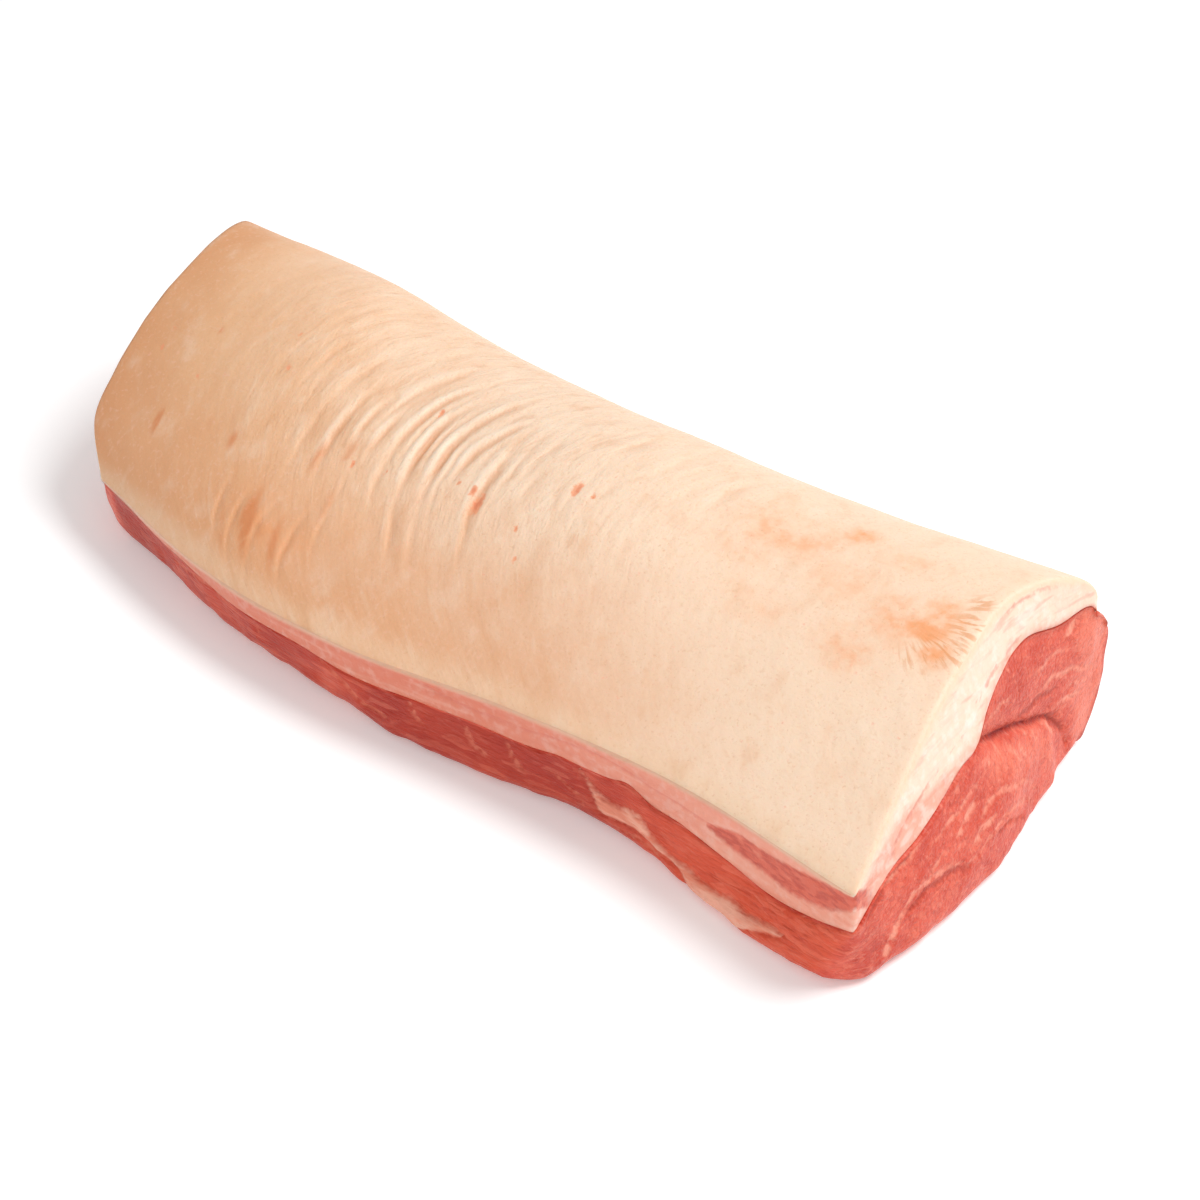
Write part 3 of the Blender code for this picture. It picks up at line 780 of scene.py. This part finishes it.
def rind_material():
    p = Paint("rind")
    cream, tan, deep_tan = srgb(247, 216, 188), srgb(236, 184, 140), srgb(220, 156, 108)
    along, across, bowed = p.mask("along"), p.mask("across"), p.mask("bowed")
    cloud = p.noise(0.045, 3)
    reach = p.plus(p.plus(along, p.times(across, 0.35)), p.times(cloud, 0.30))
    colour = p.layer(tan, cream, p.step(reach, 0.36, 0.92))
    colour = p.layer(deep_tan, colour, p.step(p.plus(along, p.times(cloud, 0.10)), 0.03, 0.16))
    low = p.step(p.plus(across, p.times(p.noise(0.03, 3), 0.22)), 0.18, 0.60)
    fading = p.times(p.rest_of(low), p.rest_of(p.step(along, 0.58, 0.90)))
    colour = p.layer(colour, srgb(224, 158, 112), p.times(fading, 0.62))
    rim = p.step(p.plus(across, p.times(cloud, 0.06)), 0.105, 0.045)
    colour = p.layer(colour, srgb(240, 204, 170), p.times(rim, 0.50))
    mottle = p.noise(0.011, 4, stretch=(1, 1.6, 1.6))
    colour = p.layer(colour, srgb(253, 234, 214), p.step(mottle, 0.52, 0.78, 0.20))
    colour = p.layer(colour, srgb(228, 168, 122), p.step(mottle, 0.47, 0.24, 0.26))
    speckle = p.noise(0.0022, 3)
    colour = p.layer(colour, srgb(222, 170, 126), p.step(speckle, 0.47, 0.26, 0.20))
    colour = p.layer(colour, srgb(255, 242, 226), p.step(speckle, 0.55, 0.76, 0.18))
    # Streaks that follow the folds, strongest where the rind is folded.
    flow = p.plane(p.times(bowed, LOIN_LENGTH / 1000), p.times(across, LOIN_WIDTH / 1000))
    folded = p.times(p.step(along, 0.10, 0.26), p.step(along, 0.86, 0.46))
    bands = p.step(p.noise(0.013, 3, stretch=(1, 3.2, 1), place=flow, twist=0.5), 0.50, 0.30, 0.30)
    bands = p.times(bands, p.step(across, 0.70, 0.42))
    colour = p.layer(colour, srgb(218, 156, 108), p.times(bands, folded))
    folded = p.times(folded, p.plus(0.30, p.step(across, 0.18, 0.48, 0.70)))
    streaks = p.noise(0.0064, 4, stretch=(1, 3.4, 1), place=flow, twist=0.7)
    wrinkles = p.noise(0.0026, 3, stretch=(1, 3.6, 1), place=flow, twist=0.9)
    share = p.plus(0.07, p.times(folded, 0.17))
    colour = p.layer(colour, srgb(214, 150, 102), p.times(p.step(streaks, 0.49, 0.27), share))
    colour = p.layer(colour, srgb(254, 234, 210), p.times(p.step(streaks, 0.52, 0.74), share))
    # Fold valleys: darker tan, partly the rind's own colour and partly painted shade; fold crests: painted
    # highlight.
    colour = p.layer(colour, srgb(208, 144, 98), p.times(p.step(p.mask("valley"), 0.10, 1.4), 0.48))
    colour = p.layer(colour, srgb(255, 240, 220), p.times(p.step(p.mask("ridge"), 0.12, 1.5), 0.46))
    blush = p.times(p.mask("blush"), p.step(p.noise(0.016, 4), 0.0, 0.72))
    blush = p.times(blush, p.plus(0.70, p.step(p.noise(0.0048, 3), 0.30, 0.66, 0.45)))
    colour = p.layer(colour, srgb(244, 162, 106), p.step(blush, 0.0, 1.0, 0.90))
    fan = p.plane(p.times(p.mask("fan_turn"), FAN_FINENESS), p.times(p.mask("fan_far"), FAN_LENGTHS))
    strokes = p.times(p.mask("bristle"), p.step(p.noise(1.0, 3, place=fan, twist=0.5), 0.42, 0.62))
    colour = p.layer(colour, srgb(224, 146, 86), p.step(strokes, 0.0, 1.1, 0.62))
    stain = p.times(p.mask("stain"), p.step(p.noise(0.005, 3, stretch=(1, 3, 2)), 0.12, 0.55))
    colour = p.layer(colour, srgb(218, 136, 84), p.step(stain, 0.05, 0.9, 0.85))
    scar = p.plus(p.mask("scar"), p.swing(p.noise(0.0022, 3), 1.7))
    colour = p.layer(colour, srgb(240, 156, 114), p.step(scar, 0.15, 0.75, 0.80))
    colour = p.layer(colour, srgb(222, 116, 78), p.step(scar, 0.80, 1.20, 0.50))
    pores = p.noise(0.0013, 2)
    colour = p.layer(colour, srgb(216, 162, 118), p.step(pores, 0.40, 0.24, 0.34))
    edge = p.step(p.mask("depth"), 2.6, 0.4)
    normal = p.bump(p.noise(0.004, 4, stretch=(1, 1.5, 1.5)), 0.00028)
    normal = p.bump(p.times(streaks, folded), 0.0008, normal)
    normal = p.bump(p.times(wrinkles, folded), 0.0004, normal)
    normal = p.bump(pores, 0.00016, normal)
    rough = p.plus(0.42, p.times(p.noise(0.012, 3), 0.16))
    return p.finish(p.layer(srgb(240, 205, 178), colour, edge), rough, normal, Specular_IOR_Level=0.4,
                    Subsurface_Weight=0.12, Subsurface_Radius=(0.004, 0.002, 0.0012), Subsurface_Scale=1.0)


def fat_material():
    p = Paint("cut_fat")
    cloud, fine = p.noise(0.014, 3), p.noise(0.004, 4)
    pinkness = p.plus(p.mask("pink"), p.swing(cloud, 0.55))
    on_face, along = p.mask("face"), p.mask("along")
    side_pink = p.layer(srgb(219, 121, 92), srgb(232, 152, 127), p.step(along, 0.50, 0.90))
    soft_pink = p.layer(side_pink, srgb(239, 168, 144), on_face)
    colour = p.layer(srgb(243, 215, 192), soft_pink, p.step(pinkness, 0.25, 1.0))
    # Painted highlights: pale spots over the fat, stronger on the cut faces.
    light = p.plus(0.14, p.times(on_face, 0.25))
    spread = p.step(p.plus(fine, p.times(cloud, 0.3)), 0.60, 0.85)
    colour = p.layer(colour, srgb(252, 238, 226), p.times(spread, light))
    layers = p.noise(0.0045, 4, stretch=(9, 4, 0.7))
    colour = p.layer(colour, srgb(212, 112, 86), p.step(layers, 0.48, 0.28, 0.34))
    colour = p.layer(colour, srgb(240, 184, 162), p.step(layers, 0.54, 0.72, 0.30))
    # Painted highlight over the gleams.
    colour = p.layer(colour, srgb(253, 240, 230), p.step(p.mask("gleam"), 0.2, 0.8, 0.35))
    under_rind = p.layer(srgb(224, 176, 146), srgb(244, 212, 184), on_face)
    under = p.times(p.mask("depth"), p.rest_of(p.times(on_face, 0.5)))
    colour = p.layer(under_rind, colour, p.step(p.plus(under, fine), 0.9, 3.4))
    rough_edge = p.swing(p.noise(0.003, 4), 3.0)
    streak = p.step(p.plus(p.mask("streak"), rough_edge), -0.5, 0.7)
    colour = p.layer(colour, srgb(214, 112, 92), p.times(streak, 0.50))
    strip = p.step(p.plus(p.mask("strip"), rough_edge), -1.5, 1.3)
    grain = p.noise(0.0026, 4, stretch=(2.5, 1, 0.8), twist=0.4)
    lean = p.layer(srgb(214, 96, 70), srgb(192, 72, 50), p.step(grain, 0.40, 0.62))
    lean = p.layer(lean, srgb(234, 140, 112), p.step(p.noise(0.006, 4, stretch=(2, 1, 1)), 0.54, 0.72, 0.6))
    colour = p.layer(colour, lean, strip)
    normal = p.bump(p.noise(0.006, 4), 0.0009)
    normal = p.bump(fine, 0.0006, normal)
    rough = p.plus(0.30, p.times(p.noise(0.010, 3), 0.22))
    return p.finish(colour, rough, normal, Specular_IOR_Level=0.5, Coat_Weight=0.12, Coat_Roughness=0.25,
                    Subsurface_Weight=0.22, Subsurface_Radius=(0.006, 0.003, 0.002), Subsurface_Scale=1.0)


def lean_material():
    p = Paint("lean")
    side, along = p.mask("side"), p.mask("along")
    cloud, patch = p.noise(0.020, 3), p.noise(0.007, 4)
    bright = p.layer(srgb(224, 93, 70), srgb(211, 76, 55), p.step(cloud, 0.35, 0.65))
    bright = p.layer(bright, srgb(240, 121, 96), p.step(patch, 0.50, 0.72, 0.50))
    near_red = p.step(along, 0.68, 0.86)
    side_red = p.layer(srgb(198, 66, 38), srgb(182, 51, 28), p.step(cloud, 0.35, 0.65))
    side_red = p.layer(side_red, srgb(220, 84, 52), near_red)
    colour = p.layer(bright, side_red, side)
    # On the cut faces the dark mask also holds painted shadow between the lobes and a painted highlight below
    # the crease.
    dark = p.plus(p.mask("dark"), p.swing(cloud, 0.5))
    colour = p.layer(colour, srgb(160, 38, 24), p.step(dark, 0.10, 1.0, 0.62))
    colour = p.layer(colour, srgb(244, 126, 98), p.step(dark, 0.0, -0.50, 0.75))
    # Bundles of fibre run along the loin: streaks on the sides, grains on the cut faces.
    walls, tone = p.cells(0.0021, stretch=(7, 1.2, 1))
    colour = p.layer(colour, srgb(178, 52, 38), p.step(tone, 0.45, 0.0, 0.22))
    colour = p.layer(colour, srgb(248, 140, 112), p.step(tone, 0.62, 1.0, 0.22))
    colour = p.layer(colour, srgb(182, 54, 40), p.step(walls, 0.10, 0.0, 0.14))
    grain = p.noise(0.0015, 4, stretch=(6, 1, 1), twist=0.4)
    colour = p.layer(colour, srgb(170, 46, 32), p.step(grain, 0.46, 0.28, 0.34))
    plainer = p.step(side, 1.6, 0.0)
    colour = p.layer(colour, srgb(250, 162, 138), p.times(p.step(grain, 0.56, 0.74, 0.36), plainer))
    flecks = p.step(p.noise(0.0046, 4, stretch=(3, 2.2, 0.8), twist=0.8), 0.58, 0.76, 0.40)
    colour = p.layer(colour, srgb(248, 152, 126), p.times(flecks, plainer))
    rough_edge = p.swing(p.noise(0.0026, 4), 2.6)
    # Painted shade along the grooves of the cut face.
    line = p.step(p.plus(p.mask("line"), rough_edge), -0.8, 0.8)
    colour = p.layer(colour, srgb(172, 60, 46), p.times(line, 0.60))
    seam = p.step(p.plus(p.mask("seam"), rough_edge), -1.2, 1.0)
    fat = p.layer(srgb(250, 166, 140), srgb(222, 122, 96), side)
    broken = p.times(seam, p.step(p.noise(0.004, 3), 0.30, 0.58, 0.78))
    colour = p.layer(colour, fat, broken)
    pale = p.step(p.plus(p.mask("pale"), rough_edge), -1.5, 2.0)
    fibre = p.noise(0.004, 4, stretch=(6, 1, 1))
    pale_fat = p.layer(srgb(246, 180, 154), srgb(232, 142, 114), p.step(fibre, 0.44, 0.62))
    colour = p.layer(colour, pale_fat, p.times(pale, 0.92))
    # Painted shade in the crease between the muscles.
    colour = p.layer(colour, srgb(140, 22, 20), p.step(p.mask("crease"), 0.15, 0.95, 0.85))
    normal = p.bump(p.noise(0.0045, 4, stretch=(2, 1, 1)), 0.0010)
    normal = p.bump(walls, 0.0006, normal)
    normal = p.bump(grain, 0.0007, normal)
    rough = p.plus(0.26, p.times(p.noise(0.009, 3), 0.26))
    return p.finish(colour, rough, normal, Specular_IOR_Level=0.30, Coat_Weight=0.06, Coat_Roughness=0.2,
                    Subsurface_Weight=0.08, Subsurface_Radius=(0.004, 0.0015, 0.001), Subsurface_Scale=1.0)


# --- Pieces.

def edge_weight(body):
    """Strong near the loin's sharp edges: the cut ends and the rind's long edges."""
    normals = quad_normals(body.points, body.quads)
    normals /= np.maximum(np.linalg.norm(normals, axis=1), 1e-12)[:, None]
    mean = point_normals(body.points, body.quads)
    worst = np.ones(len(body.points))
    for k in range(4):
        np.minimum.at(worst, body.quads[:, k], np.einsum("ij,ij->i", normals, mean[body.quads[:, k]]))
    sharp = (worst < SHARP_COSINE).astype(float)
    spread = sharp.copy()
    near = sharp[body.quads].max(axis=1) * SHARP_SPREAD
    for k in range(4):
        np.maximum.at(spread, body.quads[:, k], near)
    return spread * np.where(body.s < FAR_CUT, FAR_PULL, PULL)


def make_piece(name, body, finish, materials, unit, centre, rounds):
    relief, masks = finish(body)
    points = relax(body.points, body.quads, edge_weight(body), rounds)
    hidden = body.region == Body.HIDDEN
    relief = np.where(hidden | (body.region == Body.FOOT), 0.0, relief)
    points = points + point_normals(points, body.quads) * relief[:, None]
    points[:, 2] = np.maximum(points[:, 2], 0.0)
    points = points * unit + np.array(centre)
    faces = []
    for quad, whole in zip(body.quads.tolist(), body.flat_corners):
        faces.append(quad if whole else [v for i, v in enumerate(quad) if v != quad[i - 1]])
    mesh = bpy.data.meshes.new(name)
    mesh.from_pydata(points.tolist(), [], faces)
    for mask_name, values in masks.items():
        layer = mesh.attributes.new(mask_name, "FLOAT", "POINT")
        layer.data.foreach_set("value", np.asarray(values, np.float32))
    for material in materials:
        mesh.materials.append(material)
    mesh.polygons.foreach_set("material_index", np.asarray(body.kinds, np.int32))
    mesh.shade_smooth()
    piece = bpy.data.objects.new(name, mesh)
    bpy.context.collection.objects.link(piece)
    return piece


def frame_fit(body):
    """Metres for each mm of the form, and where its origin goes, from the frame's own box."""
    cap_low, cap_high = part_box("rind_and_fat")
    x = body.points[:, 0]
    unit = (cap_high.x - cap_low.x) / (x.max() - x.min())
    return unit, (cap_low.x - x.min() * unit, 0.0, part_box("loin_meat")[0].z)


cap_body = build_cap()
UNIT, ORIGIN = frame_fit(cap_body)
cap = make_piece("Rind_and_fat", cap_body, finish_cap, (rind_material(), fat_material()), UNIT, ORIGIN, 3)
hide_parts("rind_and_fat")
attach(cap, "root")
lean = make_piece("Loin_meat", build_lean(), finish_lean, (lean_material(),), UNIT, ORIGIN, 2)
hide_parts("loin_meat")
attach(lean, "root")

# --- Stage, lights and camera.

FLOOR_SIZE = 12.0
FLOOR_GLOW = 0.17
CAMERA_TARGET = Vector((0.0498, -0.0115, 0.045))
CAMERA_AZIMUTH, CAMERA_ELEVATION, CAMERA_DISTANCE = 38.391, 38.330, 1.035
CAMERA_LENS = 73.23
KEY_AZIMUTH, KEY_ELEVATION, KEY_DISTANCE, KEY_SIZE, KEY_POWER = 134.0, 55.0, 2.4, 1.2, 41.5
FILL_AZIMUTH, FILL_ELEVATION, FILL_DISTANCE, FILL_SIZE, FILL_POWER = 12.0, 22.0, 1.5, 1.0, 4.3
WORLD_STRENGTH = 0.505


def direction(azimuth, elevation):
    """Unit vector from the object to a place seen at that azimuth (0 is -Y) and elevation."""
    a, e = math.radians(azimuth), math.radians(elevation)
    return Vector((math.sin(a) * math.cos(e), -math.cos(a) * math.cos(e), math.sin(e)))


def add_floor():
    half = FLOOR_SIZE / 2
    mesh = bpy.data.meshes.new("Floor")
    corners = [(-half, -half, 0), (half, -half, 0), (half, half, 0), (-half, half, 0)]
    mesh.from_pydata(corners, [], [(0, 1, 2, 3)])
    floor = bpy.data.objects.new("Floor", mesh)
    floor.location.z = CAD_LOW.z - 0.0002
    bpy.context.collection.objects.link(floor)
    material = bpy.data.materials.new("floor")
    material.use_nodes = True
    shader = material.node_tree.nodes["Principled BSDF"]
    shader.inputs["Base Color"].default_value = (0.96, 0.96, 0.96, 1)
    shader.inputs["Emission Color"].default_value = (1, 1, 1, 1)
    shader.inputs["Emission Strength"].default_value = FLOOR_GLOW
    shader.inputs["Roughness"].default_value = 0.9
    shader.inputs["Specular IOR Level"].default_value = 0.1
    mesh.materials.append(material)


def add_light(name, azimuth, elevation, distance, size, power):
    light = bpy.data.lights.new(name, "AREA")
    light.shape = "DISK"
    light.size = size
    light.energy = power
    lamp = bpy.data.objects.new(name, light)
    towards = direction(azimuth, elevation)
    lamp.location = CAMERA_TARGET + towards * distance
    lamp.rotation_euler = (-towards).to_track_quat("-Z", "Y").to_euler()
    bpy.context.collection.objects.link(lamp)


def add_camera():
    camera = bpy.data.cameras.new("Camera")
    camera.lens = CAMERA_LENS
    camera.sensor_width = 36.0
    camera.clip_start = 0.01
    eye = bpy.data.objects.new("Camera", camera)
    towards = direction(CAMERA_AZIMUTH, CAMERA_ELEVATION)
    eye.location = CAMERA_TARGET + towards * CAMERA_DISTANCE
    eye.rotation_euler = (-towards).to_track_quat("-Z", "Y").to_euler()
    bpy.context.collection.objects.link(eye)
    bpy.context.scene.camera = eye


add_floor()
add_light("Key", KEY_AZIMUTH, KEY_ELEVATION, KEY_DISTANCE, KEY_SIZE, KEY_POWER)
add_light("Fill", FILL_AZIMUTH, FILL_ELEVATION, FILL_DISTANCE, FILL_SIZE, FILL_POWER)
add_camera()
world = bpy.data.worlds.new("World")
world.use_nodes = True
world.node_tree.nodes["Background"].inputs["Color"].default_value = (1, 1, 1, 1)
world.node_tree.nodes["Background"].inputs["Strength"].default_value = WORLD_STRENGTH
bpy.context.scene.world = world
bpy.context.scene.view_settings.view_transform = "Standard"
